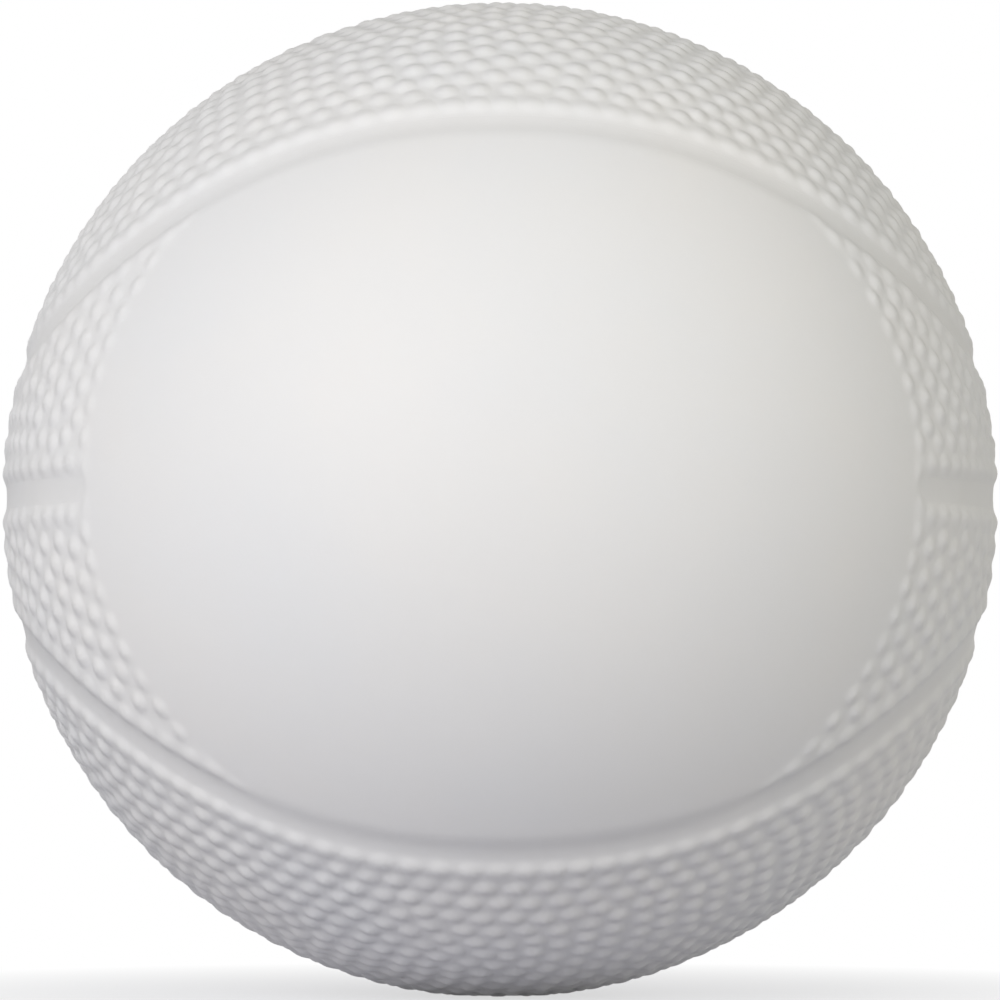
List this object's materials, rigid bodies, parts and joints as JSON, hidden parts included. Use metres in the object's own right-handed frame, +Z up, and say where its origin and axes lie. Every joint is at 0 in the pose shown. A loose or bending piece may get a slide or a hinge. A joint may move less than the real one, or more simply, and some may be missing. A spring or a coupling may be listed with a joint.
{
  "type": "mini basketball",
  "caption": "Small laminated rubber ball with curved seam channels, pebbled panels, a smooth round field at the front and a needle valve at the back.",
  "frame": {"origin": "centre of the ball", "axes": "+Z up through the middle of the upper caps, -Y out of the middle of the smooth front field, +X to the right as seen from the front"},
  "size_m": [0.129, 0.129, 0.129],
  "materials": {
    "cover_rubber": "matt white rubber with low round pebbles",
    "seam_rubber": "plain matt white rubber",
    "carcass_rubber": "plain dark rubber",
    "winding_thread": "wound nylon thread in rubber cement",
    "bladder_rubber": "smooth black butyl rubber",
    "valve_rubber": "soft black rubber, slightly worn at the needle hole"
  },
  "bodies": {
    "root": {"bladder": "bladder_rubber", "winding": "winding_thread", "carcass": "carcass_rubber", "front_panel": "cover_rubber", "back_upper_strip_panel": "cover_rubber", "back_lower_strip_panel": "cover_rubber", "front_upper_cap_panel": "cover_rubber", "back_upper_cap_panel": "cover_rubber", "front_lower_cap_panel": "cover_rubber", "back_lower_cap_panel": "cover_rubber", "meridian_strip": "seam_rubber", "equator_back_strip": "seam_rubber", "equator_right_strip": "seam_rubber", "equator_left_strip": "seam_rubber", "upper_loop_front_strip": "seam_rubber", "upper_loop_back_strip": "seam_rubber", "lower_loop_front_strip": "seam_rubber", "lower_loop_back_strip": "seam_rubber", "valve_housing": "valve_rubber", "valve_core": "valve_rubber"}
  },
  "joints": []
}
